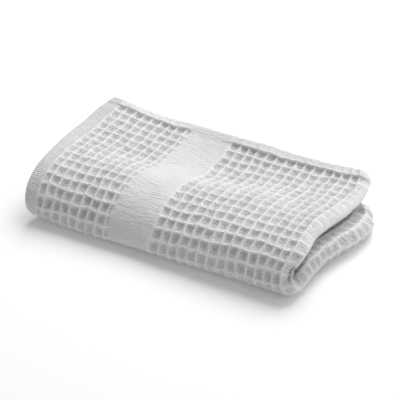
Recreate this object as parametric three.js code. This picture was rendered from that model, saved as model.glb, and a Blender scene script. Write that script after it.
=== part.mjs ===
// Folded guest towel of waffle weave: one hemmed cloth, folded end over end, then side over side.
// Millimetres. X runs along the towel to its folded end, Y from the front nose to the back hem, Z up.

import * as THREE from "three";

// Flat cloth
const halfLength = 250; // from a hemmed end to the crosswise fold
const topWidth = 150; // cloth on the top side of the nose line
const underWidth = 153; // cloth on the underside of the nose line
const clothThick = 5; // waffle cloth over its ridges
const hemThick = 6; // side hems, turned and stitched
const hemWidth = 10;
const hemStep = 3; // over which a hem thins down to the cloth

// Fold
const face = clothThick / 2; // from the middle of the cloth to its outer face
const noseGap = 0.385; // middle to middle of the two layers round the nose, as part of its height
const leastNoseGap = 5.9;
const noseWindow = 17; // cloth on each side over which the inner layer's place is evened out
const noseReach = 44; // from the nose line to where the layers lie as the stack lets them
const innerRoom = 10; // middle to middle of the two inner layers at the folded end, by the nose
const roomBehind = 6.5; // the same further back, where the two loops lie on each other
const roomFrom = 20; // from the nose line to where the room starts to lessen
const roomReach = 30; // cloth over which it does
const roomTo = 138; // from the nose line to where it is back at its full size, for the hems
const roomBack = 26; // cloth over which it grows again
const innerShare = 0.3; // the same elsewhere, as part of the height of the stack
const noseTakes = 21; // how far the lower half lies behind the upper there, in cloth
const noseTurn = 50; // from the nose line, over which it falls behind
const leastGap = 8; // middle to middle of an outer layer and its inner one
const topShare = 0.47; // part of the spare height that lies between the two upper layers
const topShareAtFold = 0.39; // the same at the folded end, where the lower loop is the fatter
const foldReach = 60; // from the folded end to where its loops stop changing the stack
const endReach = 42; // from the folded end to where its uneven edge stops pulling
const hemReach = 26; // from the hemmed end to where its uneven edge stops pulling
const innerEdge = -2.5; // where the inner layer's part of the fold line runs round the nose
const underBend = 0.72; // how late the nose turns under
const underLevel = 8; // from the front to where the underside starts to lie flat
const skew = 0.085; // how far the lower half leans along the towel towards its back, as a slope
const swing = 12.5; // how far its back edge comes forward at the folded end
const swingFrom = 62; // along the towel, where that starts
const swingDeep = 70; // cloth behind the nose over which it grows

// Sections across the towel, by their place from the hemmed end. Lean is the slope of the nose at
// its line and height the middle of the cloth there. The crest is level crestAt from the line,
// reached the sooner the higher round is. Droop and lift are the slopes down behind the crest and
// up to the hem, each with its middle and half its width. Slopes are in degrees.
const sections = table(
  ["place", "lean", "height", "crestAt", "round",
    "droop", "droopAt", "droopHalf", "lift", "liftAt", "liftHalf"],
  [
    [0, 86, 15.4, 58, 2.0, 5, 86, 26, 9, 130, 22],
    [15, 85, 15.2, 58, 2.0, 5, 86, 26, 7, 130, 22],
    [46, 72, 13.8, 60, 1.7, 9, 74, 33, 4, 139, 26],
    [76, 67, 14.2, 65, 1.7, 17, 72, 31, 12, 146, 36],
    [146, 63, 16.8, 62, 2.3, 22, 82, 29, 21, 148, 45],
    [185, 67, 19.4, 54, 2.3, 18, 86, 35, 22, 154, 36],
    [224, 64, 21.2, 53, 2.3, 12, 86, 50, 19, 154, 33],
    [250, 64, 21.5, 53, 2.3, 11, 86, 50, 17, 154, 33],
  ]
);

// The folded end: how far its fold stands out or in, by the distance from the nose line.
const foldedEdge = table(["place", "out"], [
  [-153, -8], [-145, -2], [-136, 3.5], [-124, 6.5], [-110, 6], [-92, 2.5], [-70, 0], [-45, 0.5],
  [-26, -1], [-16, -2.8], [-6, -4.8], [2, -5], [12, -4], [25, -2.5], [50, -5], [70, -4],
  [95, -1.5], [116, -1], [130, -1.5], [141, -3.5], [150, -8],
]);

// The hemmed end: how far its edge stands back.
const hemmedEdge = table(["place", "back"], [
  [-153, 12], [-60, 14], [-30, 17], [-22, 15], [-12, 10.5], [-4, 8], [4, 7],
  [14, 6.2], [25, 5.8], [38, 5.2], [55, 4.2], [75, 2.6], [95, 1], [118, 1], [136, 3], [150, 7],
]);

// How finely the cloth is faceted
const lengthSteps = 14; // along one flat half
const loopSteps = 20; // round the loop of the folded end
const loopReach = 14; // cloth on each side of the crosswise fold that the loop takes
const spineStep = 0.5; // of the running sums that draw a section
const bands = table(["place", "steps"], [
  [-153, 2], [-143, 7], [-44, 16], [46, 9], [140, 2], [150, 0],
]);

function table(names, rows) {
  const columns = names.map((name, k) => [name, rows.map((row) => row[k])]);
  return Object.fromEntries(columns);
}

function clamp(a) {
  return Math.min(1, Math.max(0, a));
}

// Eased step: 3a² − 2a³
function ease(a) {
  const t = clamp(a);
  return t * t * (3 - 2 * t);
}

// Round bump: (1 − t²)²
function bell(t) {
  return clamp(1 - t * t) ** 2;
}

// Smooth curve through a table's column, without overshoot: cubic between rows, with the slope at
// a row the harmonic mean of its two sides.
function read(rows, name, at) {
  const x = rows.place;
  const y = rows[name];
  const last = x.length - 2;
  let i = 0;
  while (i < last && at >= x[i + 1]) i += 1;
  const rise = (k) => (y[k + 1] - y[k]) / (x[k + 1] - x[k]);
  const slope = (k) => {
    if (k === 0) return rise(0);
    if (k > last) return rise(last);
    const a = rise(k - 1);
    const b = rise(k);
    return a * b > 0 ? (2 * a * b) / (a + b) : 0;
  };
  const h = x[i + 1] - x[i];
  const t = clamp((at - x[i]) / h);
  const bend = slope(i) * (1 - t) - slope(i + 1) * t;
  return y[i] + (y[i + 1] - y[i]) * ease(t) + bend * h * t * (1 - t);
}

// How far the nose has turned under, 0 to 1, a part t of the way down: even, and quickest midway
function turnedUnder(t) {
  return (ease(t) ** underBend + clamp(t)) / 2;
}

// Arc length from the nose line down to the ground, for a nose of this lean and height.
function archUnder(lean, height) {
  const parts = 100;
  let sum = 0;
  for (let k = 0; k <= parts; k += 1) {
    const slope = lean + (180 - lean) * turnedUnder(k / parts);
    sum += Math.sin(THREE.MathUtils.degToRad(slope));
  }
  return ((height - face) * (parts + 1)) / sum;
}

// One section: the outer layer's middle line, from its slope summed along the cloth.
function spine(place) {
  const g = (name) => read(sections, name, place);
  const under = archUnder(g("lean"), g("height"));
  const low = -Math.ceil(underWidth + 4);
  const count = Math.round((topWidth + 4 - low) / spineStep);
  const points = [];
  let y = 0;
  let z = 0;
  for (let k = 0; k <= count; k += 1) {
    const s = low + k * spineStep;
    const nose = g("lean") * clamp(1 - s / g("crestAt")) ** g("round");
    const turned = g("lean") + (180 - g("lean")) * turnedUnder(-s / under);
    const droop = g("droop") * bell((s - g("droopAt")) / g("droopHalf"));
    const lift = g("lift") * bell((s - g("liftAt")) / g("liftHalf"));
    const slope = THREE.MathUtils.degToRad((s < 0 ? turned : nose) - droop + lift);
    y += Math.cos(slope) * spineStep;
    z += Math.sin(slope) * spineStep;
    points.push({ y, z, slope });
  }
  const at = (s) => {
    const f = (s - low) / spineStep;
    const i = Math.min(count - 1, Math.max(0, Math.floor(f)));
    const mix = (key) => points[i][key] + (points[i + 1][key] - points[i][key]) * (f - i);
    return { y: mix("y"), z: mix("z"), slope: mix("slope") };
  };
  const nose = at(0);
  const ground = at(low + 1);
  return (s) => {
    const p = at(s);
    const evened = [-1, -0.5, 0, 0.5, 1].reduce((sum, k) => sum + at(s + k * noseWindow).slope / 5, 0);
    const y = p.y - nose.y + face;
    const z = p.z - ground.z + face;
    return { y, z, facing: evened, noseGap: Math.max(noseGap * g("height"), leastNoseGap) };
  };
}

const spines = new Map();
function sectionAt(place) {
  const key = place.toFixed(4);
  if (!spines.has(key)) spines.set(key, spine(place));
  return spines.get(key);
}

// A point of the cloth's middle: u runs along the cloth from one hemmed end to the other, v across
// it from the nose line. Past the crosswise fold the cloth lies inside its outer layer.
function middle(u, v) {
  const place = Math.min(u, 2 * halfLength - u);
  const section = sectionAt(place);
  const p = section(v);
  const nearFold = ease((place - (halfLength - foldReach)) / foldReach);
  const above = v > 0 ? v : -v - noseTakes * nearFold * ease(-v / noseTurn);
  const high = section(above).z - section(-Math.abs(v)).z;
  const close = ease((Math.abs(v) - roomFrom) / roomReach) * ease((roomTo - Math.abs(v)) / roomBack);
  const room = innerRoom + (roomBehind - innerRoom) * close;
  const stack = high - room * nearFold - innerShare * high * (1 - nearFold);
  const upper = topShare + (topShareAtFold - topShare) * nearFold;
  const share = v > 0 ? upper : 1 - upper;
  const flat = Math.max(stack * share, leastGap);
  const gap = p.noseGap + (flat - p.noseGap) * ease((Math.abs(v) - 6) / noseReach);

  // Loop of the crosswise fold: half a turn of radius gap/2
  const r = gap / 2;
  const arc = (Math.PI * r) / 2;
  const turn = clamp((u - (halfLength - arc)) / (2 * arc)) * Math.PI;
  const inward = r * (1 - Math.cos(turn));
  let x = Math.min(place, halfLength - arc) + r * Math.sin(turn);
  const inner = (turn / Math.PI) * (1 - ease(Math.abs(v) / noseReach));
  const out = read(foldedEdge, "out", v) * (1 - inner) + innerEdge * inner;
  x += out * ease((x - (halfLength - endReach)) / endReach);
  x += read(hemmedEdge, "back", v) * (1 - ease(place / hemReach));
  let y = p.y + inward * Math.sin(p.facing);
  const z = p.z - inward * Math.cos(p.facing);

  // The lower half lies a little askew under the upper
  const low = ease(-v / 30);
  const behind = Math.max(y - underLevel, 0);
  y -= low * swing * ease((x - swingFrom) / (halfLength - swingFrom)) * ease(behind / swingDeep);
  x += low * skew * behind;
  return new THREE.Vector3(x, y, z);
}

// The cloth's normal there, out of its outer face, by differences along u and v
function normal(u, v) {
  const h = 0.05;
  const along = middle(u + h, v).sub(middle(u - h, v));
  const across = middle(u, v + h).sub(middle(u, v - h));
  return along.cross(across).normalize();
}

// The hems are pressed as thin as the cloth where they go round the crosswise fold
function thickAt(u, v) {
  const edge = Math.min(topWidth - v, v + underWidth);
  const hem = ease((hemWidth + hemStep / 2 - edge) / hemStep);
  const pressed = 1 - ease(2 - Math.abs(u - halfLength) / loopReach);
  return clothThick + (hemThick - clothThick) * hem * pressed;
}

// Places along and across where the cloth has a row of corners
function alongPlaces() {
  const out = [];
  const flat = halfLength - loopReach;
  for (let k = 0; k < lengthSteps; k += 1) out.push((flat * k) / lengthSteps);
  for (let k = 0; k <= loopSteps; k += 1) out.push(flat + (2 * loopReach * k) / loopSteps);
  for (let k = lengthSteps - 1; k >= 0; k -= 1) out.push(2 * halfLength - (flat * k) / lengthSteps);
  return out;
}

function acrossPlaces() {
  const out = [];
  bands.place.slice(0, -1).forEach((from, k) => {
    const step = (bands.place[k + 1] - from) / bands.steps[k];
    for (let n = 0; n < bands.steps[k]; n += 1) out.push(from + n * step);
  });
  out.push(topWidth);
  return out;
}

// The closed cloth: its outer and inner faces, joined round the four edges
function clothSolid() {
  const us = alongPlaces();
  const vs = acrossPlaces();
  const corners = [];
  const sides = [1, -1];
  sides.forEach((side) => {
    us.forEach((u) => {
      vs.forEach((v) => {
        const depth = side > 0 ? face : face - thickAt(u, v);
        corners.push(middle(u, v).addScaledVector(normal(u, v), depth));
      });
    });
  });
  const sheet = us.length * vs.length;
  const id = (side, i, j) => side * sheet + i * vs.length + j;
  const faces = [];
  const quad = (a, b, c, d) => faces.push(a, b, c, a, c, d);
  for (let i = 0; i + 1 < us.length; i += 1) {
    for (let j = 0; j + 1 < vs.length; j += 1) {
      quad(id(0, i, j), id(0, i + 1, j), id(0, i + 1, j + 1), id(0, i, j + 1));
      quad(id(1, i, j), id(1, i, j + 1), id(1, i + 1, j + 1), id(1, i + 1, j));
    }
  }
  const lastU = us.length - 1;
  const lastV = vs.length - 1;
  for (let i = 0; i < lastU; i += 1) {
    quad(id(0, i, 0), id(1, i, 0), id(1, i + 1, 0), id(0, i + 1, 0));
    quad(id(0, i, lastV), id(0, i + 1, lastV), id(1, i + 1, lastV), id(1, i, lastV));
  }
  for (let j = 0; j < lastV; j += 1) {
    quad(id(0, 0, j), id(0, 0, j + 1), id(1, 0, j + 1), id(1, 0, j));
    quad(id(0, lastU, j), id(1, lastU, j), id(1, lastU, j + 1), id(0, lastU, j + 1));
  }
  const solid = new THREE.BufferGeometry();
  solid.setAttribute("position", new THREE.Float32BufferAttribute(corners.flatMap((p) => p.toArray()), 3));
  solid.setIndex(faces);

  // The origin is at the middle of the box, on the ground
  solid.computeBoundingBox();
  const centre = solid.boundingBox.getCenter(new THREE.Vector3());
  solid.translate(-centre.x, -centre.y, -solid.boundingBox.min.z);
  solid.computeVertexNormals();
  return solid;
}

const cotton = new THREE.MeshStandardMaterial({ color: 0xdad8d4, roughness: 0.95, metalness: 0 });

const group = new THREE.Group();
const towel = new THREE.Mesh(clothSolid(), cotton);
towel.name = "towel";
group.add(towel);

export default group;
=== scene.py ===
import bpy
import numpy as np
from mathutils import Matrix


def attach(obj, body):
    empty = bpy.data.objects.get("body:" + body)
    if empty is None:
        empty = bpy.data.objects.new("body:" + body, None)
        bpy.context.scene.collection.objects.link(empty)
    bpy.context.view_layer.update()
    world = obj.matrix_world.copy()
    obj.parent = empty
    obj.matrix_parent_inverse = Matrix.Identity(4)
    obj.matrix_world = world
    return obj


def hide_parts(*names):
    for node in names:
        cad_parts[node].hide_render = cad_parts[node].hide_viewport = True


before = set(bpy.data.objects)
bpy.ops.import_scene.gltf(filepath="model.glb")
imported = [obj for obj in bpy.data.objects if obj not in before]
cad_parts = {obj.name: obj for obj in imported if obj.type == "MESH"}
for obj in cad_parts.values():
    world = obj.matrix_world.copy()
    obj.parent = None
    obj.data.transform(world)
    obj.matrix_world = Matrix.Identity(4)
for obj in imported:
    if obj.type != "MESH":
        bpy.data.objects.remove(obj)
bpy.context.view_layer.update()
mm = 0.001

# Folded guest towel: one waffle-woven cotton cloth with a plain band on each half, plain ends and
# stitched side hems. u runs along the cloth from one hemmed end to the other, v across it from the
# nose line, where it goes round the front fold, and is positive on the upper side. Millimetres.

towel = dict(
    halfLength=250.0,  # from a hemmed end to the crosswise fold
    topWidth=150.0, underWidth=153.0,  # from the nose line to the side hems
    centre=(132.650, 73.583),  # middle of the folded towel's box, from its hemmed end and its nose
    endBorder=16.3, leftColumn=8.2, leftColumns=8, narrowColumn=4.6,  # plain end, cells, half column
    bandEnd=124.0, column=8.4, columns=15,  # the band ends here, and cells run on to the fold
    row=9.33, rowStart=39.2,  # width of a row of cells, and where one of them starts
    ridgeHeight=2.5, plainHeight=1.5)  # from the middle of the cloth to its face

fold = dict(
    spine=(-185.0, 175.0), spineStep=0.25,  # stretch of v over which a section is summed
    underBend=0.72,  # below 1 the nose turns under early
    noseFlat=6.0, noseReach=44.0,  # the gap of the nose holds so far, and then grows over the reach
    noseGap=0.385, leastNoseGap=5.9, leastGap=8.0,  # noseGap is a share of the nose's height
    noseWindow=17.0,  # slopes are averaged over this much to each side
    innerRoom=10.0, roomBehind=6.5,  # between the inner layers' middles, by the nose and behind it
    roomNarrows=(20.0, 50.0), roomWidens=(138.0, 112.0),
    innerShare=0.3,  # the same at the hemmed ends, as a share of the towel's height
    noseTakes=21.0, noseTurn=50.0,  # cloth that the nose takes up, seen from the lower half
    topShare=0.47, topShareAtFold=0.39,  # of what is left for the two gaps, the upper one's share
    fullLow=0.12, fullTop=0.1, fullOver=24.0,  # 0 for round loops at the folded end, more for fuller
    foldReach=60.0, endReach=42.0, hemReach=26.0,  # how far in the shape of each end reaches
    innerEdge=-2.5,  # how far out the inner layer's fold comes at the nose
    lowReach=30.0, underLevel=8.0,  # where the lower half begins to be skewed and swung
    skew=0.085, swing=12.5, swingFrom=62.0, swingDeep=70.0)

# hollow of the crosswise fold at the nose: dented in, and greyed with painted shade
mouth = dict(along=249.5, across=2.0, length=6.5, width=13.0, depth=5.0, shade=1.6)

# Sections across the towel, by their place from the hemmed end. lean is the slope at the nose line
# in degrees, height that of the nose line over the ground, and round the power of the fall to the
# crest. droop and lift are degrees, each with its middle and its half width.
sections = dict(
    place=[0, 15, 46, 76, 146, 185, 224, 250],
    lean=[86, 85, 72, 67, 63, 67, 64, 64],
    height=[15.4, 15.2, 13.8, 14.2, 16.8, 19.4, 21.2, 21.5],
    crestAt=[58, 58, 60, 65, 62, 54, 53, 53],
    round=[2.0, 2.0, 1.7, 1.7, 2.3, 2.3, 2.3, 2.3],
    droop=[5, 5, 9, 17, 22, 18, 12, 11],
    droopAt=[86, 86, 74, 72, 82, 86, 86, 86],
    droopHalf=[26, 26, 33, 31, 29, 35, 50, 50],
    lift=[9, 7, 4, 12, 21, 22, 19, 17],
    liftAt=[130, 130, 139, 146, 148, 154, 154, 154],
    liftHalf=[22, 22, 26, 36, 45, 36, 33, 33])

# Edges of the two ends, by their place across the cloth: how far out, and how far back
foldedEdge = dict(
    place=[-153, -145, -136, -124, -110, -92, -70, -45, -26, -16, -6, 2, 12, 25, 50, 70, 95, 116,
           130, 141, 150],
    out=[-8, -2, 3.5, 6.5, 6, 2.5, 0, 0.5, -1, -2.8, -4.8, -5, -4, -2.5, -5, -4, -1.5, -1,
         -1.5, -3.5, -8])

hemmedEdge = dict(
    place=[-153, -60, -30, -22, -12, -4, 4, 14, 25, 38, 55, 75, 95, 118, 136, 150],
    back=[12, 14, 17, 15, 10.5, 8, 7, 6.2, 5.8, 5.2, 4.2, 2.6, 1, 1, 3, 7])


def ease(a):
    # eased step: 3a² − 2a³ between 0 and 1
    a = np.clip(a, 0.0, 1.0)
    return a * a * (3.0 - 2.0 * a)


def step(a, start, end):
    # eased step over a stretch: 0 where a is at start, 1 where it is at end, in either direction
    return ease((a - start) / (end - start))


def blend(first, second, share):
    # straight mix: first plus the share of what second is more
    return first + (second - first) * share


def bell(t):
    # round bump: (1 − t²)² between −1 and 1
    return np.clip(1.0 - t * t, 0.0, 1.0) ** 2


def readTable(rows, name, at):
    # cubic through a table's column, its slope at a row the harmonic mean of the two sides
    x, y = np.array(rows["place"], float), np.array(rows[name], float)
    rise = np.diff(y) / np.diff(x)
    product, total = rise[1:] * rise[:-1], rise[1:] + rise[:-1]
    inner = np.where(product > 0, 2 * product / np.where(product > 0, total, 1), 0)
    slope = np.r_[rise[0], inner, rise[-1]]
    at = np.asarray(at, float)
    i = np.clip(np.searchsorted(x, at, side="right") - 1, 0, len(x) - 2)
    width = x[i + 1] - x[i]
    t = np.clip((at - x[i]) / width, 0, 1)
    bend = slope[i] * (1 - t) - slope[i + 1] * t
    return blend(y[i], y[i + 1], ease(t)) + bend * width * t * (1 - t)


def lookUp(s, rows, v):
    # value of each row's curve at its own v, straight between samples
    f = (v - s[0]) / (s[1] - s[0])
    i = np.clip(np.floor(f).astype(int), 0, len(s) - 2)
    low = np.take_along_axis(rows, i, 1)
    return blend(low, np.take_along_axis(rows, i + 1, 1), f - i)


def turnedUnder(t):
    # how far the nose has turned under: the mean of an eased step, to a power, and an even one
    return (ease(t) ** fold["underBend"] + np.clip(t, 0, 1)) / 2


def spines(place):
    # middle line of the outer layer at each place: running sums of the cosine and sine of its slope.
    # The slope is the lean at the nose line and falls as a power to the crest. A bell of droop is
    # taken from it, a bell of lift added, and in front it turns on from the lean to 180°.
    s = np.arange(*fold["spine"], fold["spineStep"])
    g = {name: readTable(sections, name, place)[:, None] for name in sections if name != "place"}
    evenly = np.linspace(0, 1, 101)[None]
    rise = np.sin(np.radians(blend(g["lean"], 180, turnedUnder(evenly)))).mean(1)
    under = (g["height"] - towel["ridgeHeight"]) / rise[:, None]
    turned = blend(g["lean"], 180, turnedUnder(-s / under))
    crest = g["lean"] * np.clip(1 - s / g["crestAt"], 0, 1) ** g["round"]
    slope = np.where(s < 0, turned, crest)
    slope = slope - g["droop"] * bell((s - g["droopAt"]) / g["droopHalf"])
    slope = np.radians(slope + g["lift"] * bell((s - g["liftAt"]) / g["liftHalf"]))
    y = np.cumsum(np.cos(slope), 1) * fold["spineStep"]
    z = np.cumsum(np.sin(slope), 1) * fold["spineStep"]
    zero, ground = np.argmin(abs(s)), np.argmin(abs(s + towel["underWidth"]))
    y = y - y[:, zero:zero + 1] + towel["ridgeHeight"]
    z = z - z[:, ground:ground + 1] + towel["ridgeHeight"]
    return s, y, z, slope, g["height"]


def middle(u, v):
    # middle of the cloth: the outer layer's section, and past the crosswise fold the same moved
    # inwards by the gap, joined by half a turn of radius gap/2. Then each end gets its own edge, and
    # the lower half is skewed to the right and swung forwards towards the folded end.
    half, f = towel["halfLength"], fold
    place = np.minimum(u, 2 * half - u)
    s, ys, zs, slopes, height = spines(place.mean(1))
    y, z = lookUp(s, ys, v), lookUp(s, zs, v)
    shares = (-1, -0.5, 0, 0.5, 1)
    facing = sum(lookUp(s, slopes, v + k * f["noseWindow"]) for k in shares) / len(shares)

    # the gap between the outer and the inner layer: small at the nose, and away from it a share of
    # the height that the room between the inner layers leaves
    nearFold = step(place, half - f["foldReach"], half)
    above = np.where(v > 0, v, -v - f["noseTakes"] * nearFold * ease(-v / f["noseTurn"]))
    high = lookUp(s, zs, above) - lookUp(s, zs, -abs(v))
    close = step(abs(v), *f["roomNarrows"]) * step(abs(v), *f["roomWidens"])
    room = blend(f["innerRoom"], f["roomBehind"], close)
    stack = high - blend(f["innerShare"] * high, room, nearFold)
    upper = blend(f["topShare"], f["topShareAtFold"], nearFold)
    flat = np.maximum(stack * np.where(v > 0, upper, 1 - upper), f["leastGap"])
    noseGap = np.maximum(f["noseGap"] * height, f["leastNoseGap"])
    gap = blend(noseGap, flat, ease((abs(v) - f["noseFlat"]) / f["noseReach"]))

    # the crosswise fold
    r = gap / 2
    arc = np.pi * r / 2
    turn = np.clip((u - (half - arc)) / (2 * arc), 0, 1) * np.pi
    inward = r * (1 - np.cos(turn))
    fullness = 1 - f["fullLow"] * ease(-v / f["fullOver"]) - f["fullTop"] * ease(v / f["fullOver"])
    x = np.minimum(place, half - arc) + r * np.sin(turn) ** fullness

    # the edges of both ends
    inner = turn / np.pi * (1 - ease(abs(v) / f["noseReach"]))
    out = blend(readTable(foldedEdge, "out", v), f["innerEdge"], inner)
    x = x + out * step(x, half - f["endReach"], half)
    x = x + readTable(hemmedEdge, "back", v) * step(place, f["hemReach"], 0)
    y = y + inward * np.sin(facing)
    z = z - inward * np.cos(facing)

    # the lower half
    low = ease(-v / f["lowReach"])
    behind = np.maximum(y - f["underLevel"], 0)
    ahead = step(x, f["swingFrom"], half)
    y = y - low * f["swing"] * ahead * ease(behind / f["swingDeep"])
    x = x + low * f["skew"] * behind
    return np.stack([x, y, z], -1)


def normals(points):
    # out of the outer face: cross product of the steps along and across
    n = np.cross(np.gradient(points, axis=0), np.gradient(points, axis=1))
    return n / np.linalg.norm(n, axis=-1, keepdims=True)


def waves(u, v, seed, size, count=7):
    # slow unevenness, about −1 to 1: a sum of sines in random directions, about size mm long
    rng = np.random.default_rng(seed)
    total = 0
    for k in range(count):
        a, b = rng.normal(size=2) * 2 * np.pi / (size * 1.4)  # 1.4: most come out about size long
        total = total + np.sin(a * u + b * v + rng.uniform(0, 2 * np.pi))
    return total / np.sqrt(count)


# Where the mesh has its lines of corners, as shares of a cell, of the plain end and of the band.
# Each cell's lines follow its ridges and its pit, more finely where it is seen.
corners = dict(
    fineCell=np.array([0, 0.07, 0.18, 0.5, 0.82, 0.93]), plainCell=np.array([0, 0.2, 0.5, 0.8]),
    narrowCell=np.array([0, 0.3, 0.6]),
    border=np.array([0, 0.04, 0.1, 0.17, 0.33, 0.5, 0.67, 0.84]), band=np.arange(14) / 14,
    fineColumns=2, fineFrom=-35.0,  # columns past the fold that stay fine, and the lowest fine row
    rim=np.array([0, 0.35, 1.0, 2.0, 3.4]), rimClear=4.4)  # millimetres from a side hem's edge

hair = 1e-6  # keeps a corner on a ridge in the cell behind it


def cellEdges():
    # where the columns of cells begin along half the cloth, evenly spaced each side of the band, and
    # where the band begins
    t = towel
    left = t["endBorder"] + t["leftColumn"] * np.arange(t["leftColumns"] + 1)
    bandStart = left[-1] + t["narrowColumn"]
    right = t["bandEnd"] + t["column"] * np.arange(t["columns"] + 1)
    return np.r_[left, bandStart, right], bandStart


def cornersAlong(edges, bandStart):
    # lines of corners along the cloth: start plus width times the shares of each cell, fine on the
    # outer half and round the fold, and plain on the hidden half
    t, c = towel, corners

    def columns(start, width, count, cell):
        return (start + width * (np.arange(count)[:, None] + cell)).ravel()

    def halfCloth(cell):
        return np.r_[t["endBorder"] * c["border"],
                     columns(t["endBorder"], t["leftColumn"], t["leftColumns"], cell),
                     edges[t["leftColumns"]] + t["narrowColumn"] * c["narrowCell"],
                     bandStart + (t["bandEnd"] - bandStart) * c["band"],
                     columns(t["bandEnd"], t["column"], t["columns"], cell)]

    outer, hidden = halfCloth(c["fineCell"]), halfCloth(c["plainCell"])
    fineStart = t["halfLength"] - c["fineColumns"] * t["column"] + hair
    inner = np.r_[hidden[hidden < fineStart], outer[outer > fineStart]]
    return np.r_[outer, t["halfLength"], 2 * t["halfLength"] - inner[::-1]]


def cornersAcross():
    # lines of corners across the cloth: those of each row of cells, and closer ones at the side hems
    t, c = towel, corners
    first = int(np.floor((-t["underWidth"] - t["rowStart"]) / t["row"]))
    last = int(np.ceil((t["topWidth"] - t["rowStart"]) / t["row"]))
    starts = t["rowStart"] + np.arange(first, last) * t["row"]
    fine = [start + t["row"] * c["fineCell"] for start in starts if start > c["fineFrom"]]
    plain = [start + t["row"] * c["plainCell"] for start in starts if start <= c["fineFrom"]]
    v = np.concatenate(plain + fine)
    v = v[(v > -t["underWidth"] + c["rimClear"]) & (v < t["topWidth"] - c["rimClear"])]
    return np.r_[-t["underWidth"] + c["rim"], v, t["topWidth"] - c["rim"][::-1]]


weave = dict(
    pitDepth=2.15, wall=0.26,  # the wall's share of a cell
    rowSag=0.6,  # how far the ridges along the cloth sag between those across it
    spread=0.32, seed=41, draws=64,  # of the pits' depths; draws is more than the cells in a line
    narrowDepth=0.55,  # depth of the half column's pits, as a share
    firstDepth=(0.7, 0.25, 0.2), firstWave=(5, 14),  # first column: mean, swing and least; seed, size
    # crêpe of the plain cloth: height, shares of u and v, and the waves' seed, size and count
    crepe=((0.10, 1.0, 0.45, 11, 3.4, 9), (0.12, 0.6, 1.0, 12, 9, 7)))

sideHem = dict(
    seam=11.0, seamHalf=3.0, seamDepth=1.2, seamInBand=0.4,  # from the edge; in the band, its share
    thick=(12.0, 8.0), flat=(8.0, 5.0), rise=0.3, height=2.8,  # height is that of the inner face
    flatHeight=2.1, flatShare=0.4, hiddenShare=0.9,
    pressed=(28.0, 14.0), pressedHeight=2.25,  # where the crosswise fold presses it
    rimRound=2.6, rimLeast=0.03)

# Where folding pulls or presses the cells flat: from a place where it starts to one where it is full
pulled = dict(
    noseMiddle=4.0, awayFromNose=(14.0, 30.0),
    loop=(9.0, 4.0), loopAbove=0.9, loopBelow=0.4, loopTurn=(-10.0, -25.0),
    lowNose=(-4.0, -16.0), lowNoseEnd=(-28.0, -42.0), lowNoseShare=0.75,
    lowNoseAtFold=0.3, lowNoseBehind=(10.0, 50.0),
    crease=(60.0, 30.0), creaseShare=0.5,
    ribs=(15.0, 9.0), ribsAbove=0.35, ribsBelow=0.8, ribsTurn=(6.0, -4.0))

# How the painted shade in the pits and along the seam follows the shape
paintedShade = dict(shallow=0.55, hem=0.7, lowNose=0.85, loop=0.7, loopFrom=(0.0, 10.0),
              seam=0.15, seamInPit=0.4)


def pit(a, b):
    # 0 on the ridges and 1 in the middle of a cell: product of an eased wall along each way
    wallA, wallB = np.minimum(a, 1 - a), np.minimum(b, 1 - b)
    return ease(wallA / weave["wall"]) * ease(wallB / weave["wall"])


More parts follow.
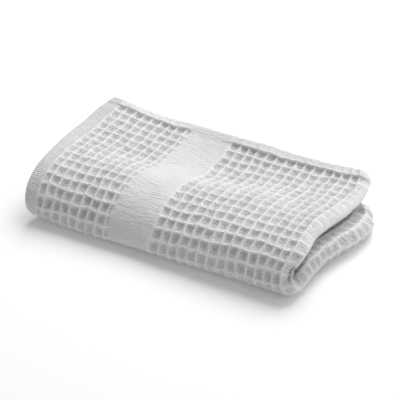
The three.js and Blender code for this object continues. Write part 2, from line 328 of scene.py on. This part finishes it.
def clothFaces(u, v, edges, bandStart):
    # heights of the outer and inner face over the middle of the cloth, and marks for the colour and
    # bump, painted shade in the pits and along the seam among them. In a cell: ridge height less the
    # depth times the pit. In the band and plain ends: plain height and crêpe. At the side hems: drawn
    # in by a bell along the seam, and thicker beyond it.
    t, w, h, p, m = towel, weave, sideHem, pulled, paintedShade
    half = t["halfLength"]
    place, fromFold = np.minimum(u, 2 * half - u), abs(u - half)
    innerHalf = (u > half).astype(int)
    column = np.clip(np.searchsorted(edges, place + hair, side="right") - 1, 0, len(edges) - 2)
    a = np.clip((place - edges[column]) / (edges[column + 1] - edges[column]), 0, 1)
    rows = (v - t["rowStart"]) / t["row"]
    row = np.floor(rows + hair).astype(int)
    b = np.clip(rows - row, 0, 1)
    inBand = ((place > bandStart - hair) & (place < t["bandEnd"] - hair)).astype(float)
    inBorder = (place < t["endBorder"] - hair).astype(float)
    plain = np.maximum(inBand, inBorder)

    # each pit's own depth
    draws = np.random.default_rng(w["seed"]).random((2, w["draws"], w["draws"]))
    cellDeep = 1 + w["spread"] * (draws[innerHalf, column, row % w["draws"]] - 0.5)
    mean, swing, least = w["firstDepth"]
    firstDeep = np.clip(mean + swing * waves(u, v, *w["firstWave"]), least, 1)
    depth = w["pitDepth"] * cellDeep
    depth = depth * np.where((column == t["leftColumns"]) & (plain == 0), w["narrowDepth"], 1)
    depth = depth * np.where((column == 0) & (plain == 0), firstDeep, 1)

    # where folding flattens the cells
    offNose = step(abs(v - p["noseMiddle"]), *p["awayFromNose"])
    atLoop = step(fromFold, *p["loop"]) * offNose
    lowNose = step(v, *p["lowNose"]) * (1 - step(v, *p["lowNoseEnd"]))
    lowNose = lowNose * blend(p["lowNoseAtFold"], 1, step(fromFold, *p["lowNoseBehind"]))
    depth = depth * (1 - blend(p["loopAbove"], p["loopBelow"], step(v, *p["loopTurn"])) * atLoop)
    depth = depth * (1 - p["lowNoseShare"] * lowNose)
    depth = depth * (1 - p["creaseShare"] * innerHalf * step(fromFold, *p["crease"]))
    ribs = blend(p["ribsAbove"], p["ribsBelow"], step(v, *p["ribsTurn"]))
    loop = step(fromFold, *p["ribs"]) * ribs

    # both faces of the weave; the pits of one lie behind the ridges of the other
    hollow = pit(a, b) * (1 - plain)
    sag = w["rowSag"] * np.sin(np.pi * a) ** 2 * (1 - plain)
    front = t["ridgeHeight"] - depth * hollow - sag
    back = t["ridgeHeight"] - w["pitDepth"] * pit((a + 0.5) % 1, (b + 0.5) % 1)
    crepe = sum(high * waves(u * along, v * across, *rest)
                for high, along, across, *rest in w["crepe"])
    front = np.where(plain > 0, t["plainHeight"] + crepe, front)
    back = np.where(plain > 0, t["plainHeight"] - crepe, back)

    # the side hems: a turned edge, thick, behind a line of stitches that draws the cloth in
    edge = np.minimum(t["topWidth"] - v, v + t["underWidth"])
    drawn = bell((edge - h["seam"]) / h["seamHalf"])
    thick, flat = step(edge, *h["thick"]), step(edge, *h["flat"])
    flatShare = blend(h["flatShare"], h["hiddenShare"], innerHalf)
    front = blend(front, h["flatHeight"], flatShare * flat)
    front = front - h["seamDepth"] * drawn * blend(1, h["seamInBand"], inBand) + h["rise"] * thick
    back = blend(back, h["height"], thick)
    back = blend(back, h["pressedHeight"], thick * step(fromFold, *h["pressed"]))

    # both faces meet round the rim, as a quarter circle does
    inward = np.clip(np.minimum(edge, place) / h["rimRound"], 0, 1)
    meet = np.sqrt(np.clip(1 - (1 - inward) ** 2, h["rimLeast"], 1))
    centre, span = (front - back) / 2, (front + back) / 2 * meet

    # painted shade: the pits' colour greyed as shade greys a hollow, more in deeper cells, less where
    # hems, the low nose and the loops are flattened
    shade = hollow * blend(m["shallow"], 1, cellDeep)
    shade = shade * (1 - m["hem"] * flat) * (1 - m["lowNose"] * lowNose)
    shade = shade * (1 - m["loop"] * atLoop * step(v, *m["loopFrom"]))
    # painted shade along the seam's drawn-in groove, more in the pits there
    seam = drawn * (m["seam"] + m["seamInPit"] * hollow) * (1 - plain)
    marks = dict(hollow=shade, plain=plain, seam=seam, loop=loop, border=inBorder)
    return centre + span, span - centre, marks


# Slow unevenness of the whole cloth, of random seed and size, that dies out at its rim
uneven = dict(along=(21, 30), across=(22, 26), sway=0.55, level=(23, 60), height=0.25, rim=12.0)


def clothCorners(us, vs, edges, bandStart):
    # corners of both faces: the middle of the cloth plus the outer height along its normal, or less
    # the inner height, neither below the ground
    u, v = np.meshgrid(us, vs, indexing="ij")
    across, along = np.minimum(v - vs[0], vs[-1] - v), np.minimum(u, us[-1] - u)
    inside = ease(across / uneven["rim"]) * ease(along / uneven["rim"])
    sway = uneven["sway"] * inside
    points = middle(u + sway * waves(u, v, *uneven["along"]), v + sway * waves(u, v, *uneven["across"]))
    n = normals(points)
    front, back, marks = clothFaces(u, v, edges, bandStart)
    level = uneven["height"] * waves(u, v, *uneven["level"]) * inside
    hollow = bell((u - mouth["along"]) / mouth["length"]) * bell((v - mouth["across"]) / mouth["width"])
    points = points - n * (mouth["depth"] * hollow)[..., None]
    # painted shade in the fold's hollow at the nose
    marks["hollow"] = np.maximum(marks["hollow"], mouth["shade"] * hollow)
    outer = points + n * (front + np.minimum(level, 0))[..., None]
    inner = points - n * back[..., None]
    both = np.stack([outer, inner])
    both[..., 2] = np.maximum(both[..., 2], 0.0)
    return u, v, both, marks


def addObject(name, data, place=None, turn=None):
    # an object in the scene, at the origin or set at its place and turn
    thing = bpy.data.objects.new(name, data)
    if place is not None:
        thing.matrix_world = Matrix.Translation(place) @ turn
    bpy.context.scene.collection.objects.link(thing)
    return thing


def clothMesh(name):
    # one closed skin: a grid of quads on each face, the inner one turned round, and a strip of quads
    # along each of the four edges
    edges, bandStart = cellEdges()
    us, vs = cornersAlong(edges, bandStart), cornersAcross()
    u, v, both, marks = clothCorners(us, vs, edges, bandStart)
    places = (both.reshape(-1, 3) - np.array([*towel["centre"], 0.0])) * mm
    o, i = np.arange(2 * u.size).reshape(2, *u.shape)

    def quads(*ids):
        return np.stack(ids, -1).reshape(-1, 4)

    faces = np.concatenate([
        quads(o[:-1, :-1], o[1:, :-1], o[1:, 1:], o[:-1, 1:]),
        quads(i[:-1, :-1], i[:-1, 1:], i[1:, 1:], i[1:, :-1]),
        quads(o[:-1, 0], i[:-1, 0], i[1:, 0], o[1:, 0]),
        quads(o[:-1, -1], o[1:, -1], i[1:, -1], i[:-1, -1]),
        quads(o[0, :-1], o[0, 1:], i[0, 1:], i[0, :-1]),
        quads(o[-1, :-1], i[-1, :-1], i[-1, 1:], o[-1, 1:])])
    mesh = bpy.data.meshes.new(name)
    mesh.vertices.add(len(places))
    mesh.vertices.foreach_set("co", places.ravel())
    mesh.loops.add(faces.size)
    mesh.loops.foreach_set("vertex_index", faces.ravel().astype(np.int32))
    mesh.polygons.add(len(faces))
    mesh.polygons.foreach_set("loop_start", np.arange(0, faces.size, 4, dtype=np.int32))
    mesh.polygons.foreach_set("use_smooth", np.ones(len(faces), bool))
    mesh.update(calc_edges=True)
    mesh.validate()

    # the cloth's own flat coordinates, in metres, and where its weave changes
    flat = np.concatenate([np.stack([u, v], -1).reshape(-1, 2)] * 2) * mm
    mesh.uv_layers.new(name="cloth").data.foreach_set("uv", flat[faces.ravel()].ravel())
    for key, value in marks.items():
        layer = mesh.attributes.new(key, "FLOAT", "POINT")
        layer.data.foreach_set("value", np.concatenate([value.ravel(), value.ravel()]))
    print("cloth", len(us), "by", len(vs), "corners,", 2 * len(faces), "triangles")
    return addObject(name, mesh)


def colour(text):
    # sRGB hex to linear: a twelfth of it where dark, and the power 2.4 above
    c = [int(text[k:k + 2], 16) / 255 for k in (1, 3, 5)]
    return [(x / 12.92 if x <= 0.04045 else ((x + 0.055) / 1.055) ** 2.4) for x in c] + [1.0]


def addNode(tree, kind, settings, inputs, output=0):
    # one node: its settings, and for each socket a value or the output that feeds it; returns the
    # output that is asked for
    node = tree.nodes.new(kind)
    for key, value in settings.items():
        setattr(node, key, value)
    for key, value in inputs.items():
        if isinstance(value, bpy.types.NodeSocket):
            tree.links.new(value, node.inputs[key])
        else:
            node.inputs[key].default_value = value
    return node.outputs[output] if node.outputs else None


def newMaterial(name):
    # an empty material and its node tree
    material = bpy.data.materials.new(name)
    material.use_nodes = True
    material.node_tree.nodes.clear()
    return material, material.node_tree


# Colours, then sizes in millimetres, along and across the cloth where there are two, then shares
# and heights. Real yarns lie about 0.4 mm apart; lint, yarn and cord are drawn coarser, to show.
cotton = dict(
    # the pit and groove colours are painted shade: the grey of the shaded pits and of the seam's shaded
    # groove
    ridge="#EDEDEC", pit="#C9C9C8", band="#DFDFDD", grooveShade="#C0C0BF",
    lint=1.3, yarn=(2.6, 1.1), wrinkle=(8.0, 1.6), rib=(14.0, 1.9375), cord=1.7,
    cloudsPerMetre=70.0, cloudShade=(0.96, 1.03), speckle=0.16, speckleInPits=0.34,
    grain=0.75, grainOfPlain=0.25, wrinkleHeight=0.9, ribHeight=2.2, cordHeight=0.35,
    bumpDistance=0.0012, roughness=0.95, sheen=0.2, sheenRoughness=0.5)

bandsPerUnit = 3.18  # bands of a wave texture at scale 1


def cottonMaterial():
    # combed cotton, woven in a waffle: matt, with soft lit ridges, pits and seam greyed by painted
    # shade where little light comes back out, and the grain of its yarns; the plain band is crinkled
    # crosswise
    material, tree = newMaterial("waffleCotton")
    c = cotton
    uv = addNode(tree, "ShaderNodeUVMap", dict(uv_map="cloth"), {})
    hollow, plain, seam, loop, border = (
        addNode(tree, "ShaderNodeAttribute", dict(attribute_name=key), {}, "Fac")
        for key in ("hollow", "plain", "seam", "loop", "border"))

    # patterns: lint, slow clouds, and wrinkles, ribs and yarns drawn out along or across the cloth
    lint = addNode(tree, "ShaderNodeTexNoise", {}, {
        "Vector": uv, "Scale": 1000 / c["lint"], "Detail": 2.5, "Roughness": 0.6}, "Fac")
    cloudy = addNode(tree, "ShaderNodeTexNoise", {}, {
        "Vector": uv, "Scale": c["cloudsPerMetre"], "Detail": 3.0}, "Fac")
    drawnOut = {}
    for key, detail, distortion in (("wrinkle", 3.0, 0.6), ("rib", 2.0, 0.0), ("yarn", 2.0, 0.0)):
        along, across = c[key]
        stretched = addNode(tree, "ShaderNodeMapping", {}, {
            "Vector": uv, "Scale": (1000 / along, 1000 / across, 1.0)})
        drawnOut[key] = addNode(tree, "ShaderNodeTexNoise", {}, {
            "Vector": stretched, "Scale": 1.0, "Detail": detail, "Distortion": distortion}, "Fac")
    cords = addNode(tree, "ShaderNodeTexWave", dict(wave_type="BANDS", bands_direction="Y"), {
        "Vector": uv, "Scale": 1000 / c["cord"] / bandsPerUnit, "Distortion": 0.8,
        "Detail": 1.0}, "Fac")

    # colour: ridges, painted shade in the pits, band, and painted shade in the seam's groove
    base = colour(c["ridge"])
    for mark, other in ((hollow, "pit"), (plain, "band"), (seam, "grooveShade")):
        base = addNode(tree, "ShaderNodeMix", dict(data_type="RGBA"), {
            0: mark, 6: base, 7: colour(c[other])}, 2)

    # speckled by lint, more so in the pits, and clouded
    swing = addNode(tree, "ShaderNodeMapRange", {}, {
        "Value": lint, "From Min": 0.33, "From Max": 0.67, "To Min": -0.5, "To Max": 0.5})
    share = addNode(tree, "ShaderNodeMath", dict(operation="MULTIPLY_ADD"), {
        0: hollow, 1: c["speckleInPits"], 2: c["speckle"]})
    speckle = addNode(tree, "ShaderNodeMath", dict(operation="MULTIPLY_ADD"), {
        0: swing, 1: share, 2: 1.0})
    cloud = addNode(tree, "ShaderNodeMapRange", {}, {
        "Value": cloudy, "From Min": 0.3, "From Max": 0.7,
        "To Min": c["cloudShade"][0], "To Max": c["cloudShade"][1]})
    bright = addNode(tree, "ShaderNodeMath", dict(operation="MULTIPLY"), {0: speckle, 1: cloud})
    tinted = addNode(tree, "ShaderNodeVectorMath", dict(operation="SCALE"), {
        0: base, "Scale": bright})

    # relief finer than the mesh: yarns everywhere, wrinkles in the band, ribs round the folded end
    # and cords in the plain ends
    grainShare = addNode(tree, "ShaderNodeMath", dict(operation="MULTIPLY_ADD"), {
        0: plain, 1: c["grainOfPlain"] - c["grain"], 2: c["grain"]})
    fibres = addNode(tree, "ShaderNodeMath", dict(operation="ADD"), {0: lint, 1: drawnOut["yarn"]})
    height = addNode(tree, "ShaderNodeMath", dict(operation="MULTIPLY"), {0: fibres, 1: grainShare})
    for pattern, mark, much in ((drawnOut["wrinkle"], plain, c["wrinkleHeight"]),
                                (drawnOut["rib"], loop, c["ribHeight"]),
                                (cords, border, c["cordHeight"])):
        part = addNode(tree, "ShaderNodeMath", dict(operation="MULTIPLY"), {0: pattern, 1: mark})
        height = addNode(tree, "ShaderNodeMath", dict(operation="MULTIPLY_ADD"), {
            0: part, 1: much, 2: height})
    bump = addNode(tree, "ShaderNodeBump", {}, {
        "Height": height, "Strength": 1.0, "Distance": c["bumpDistance"]})
    shader = addNode(tree, "ShaderNodeBsdfPrincipled", {}, {
        "Base Color": tinted, "Normal": bump, "Roughness": c["roughness"], "IOR": 1.5,
        "Sheen Weight": c["sheen"], "Sheen Roughness": c["sheenRoughness"]})
    addNode(tree, "ShaderNodeOutputMaterial", {}, {"Surface": shader})
    return material


towelPiece = clothMesh("towelCloth")
towelPiece.data.materials.append(cottonMaterial())
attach(towelPiece, "root")
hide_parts("towel")
print("towel in place")

# Studio: a large pale floor, a soft window of light above and behind, and a weak fill. Metres.
studio = dict(
    floor=6.0, paper="#F7F7F7", paperRoughness=0.9, glow="#FFFFFF", glowStrength=0.08,
    key=dict(place=(-0.05, 1.0, 1.4), size=1.5, power=32.5),
    fill=dict(place=(1.6, 0.2, 1.0), size=1.8, power=7.0), sky=0.29,
    camera=dict(focal=135.0, sensor=36.0, place=(0.50205, -0.85818, 0.6852),
                right=(0.8698, 0.4926, -0.0273), up=(-0.256, 0.4979, 0.8286),
                ahead=(-0.4218, 0.7137, -0.5592)))


def paperMaterial():
    # matt white paper sweep, lit a little from beneath as on a light table
    material, tree = newMaterial("paperSweep")
    shader = addNode(tree, "ShaderNodeBsdfPrincipled", {}, {
        "Base Color": colour(studio["paper"]), "Roughness": studio["paperRoughness"],
        "Emission Color": colour(studio["glow"]), "Emission Strength": studio["glowStrength"]})
    addNode(tree, "ShaderNodeOutputMaterial", {}, {"Surface": shader})
    return material


def turnTo(right, up, ahead):
    # turn whose x is right, y is up and −z is ahead
    return Matrix(np.stack([right, up, -np.array(ahead)], 1).tolist()).to_4x4()


def areaLight(name, spec):
    # square light that looks at the middle of the floor: ahead is its place turned round, right is
    # level, and up is at right angles to both
    light = bpy.data.lights.new(name, "AREA")
    light.shape, light.size, light.energy = "SQUARE", spec["size"], spec["power"]
    ahead = -np.array(spec["place"]) / np.linalg.norm(spec["place"])
    right = np.cross(ahead, (0, 0, 1))
    right = right / np.linalg.norm(right)
    addObject(name, light, spec["place"], turnTo(right, np.cross(right, ahead), ahead))


far = studio["floor"] / 2
floorMesh = bpy.data.meshes.new("floor")
floorCorners = [(-far, -far, 0), (far, -far, 0), (far, far, 0), (-far, far, 0)]
floorMesh.from_pydata(floorCorners, [], [(0, 1, 2, 3)])
floor = addObject("floor", floorMesh)
floor.data.materials.append(paperMaterial())

areaLight("keyLight", studio["key"])
areaLight("fillLight", studio["fill"])
world = bpy.data.worlds.new("studioSky")
world.use_nodes = True
world.node_tree.nodes["Background"].inputs["Color"].default_value = (1, 1, 1, 1)
world.node_tree.nodes["Background"].inputs["Strength"].default_value = studio["sky"]
bpy.context.scene.world = world
bpy.context.scene.view_settings.view_transform = "Standard"  # white paper stays white

view = studio["camera"]
lens = bpy.data.cameras.new("camera")
lens.lens, lens.sensor_width = view["focal"], view["sensor"]
viewTurn = turnTo(view["right"], view["up"], view["ahead"])
bpy.context.scene.camera = addObject("camera", lens, view["place"], viewTurn)
print("studio in place")
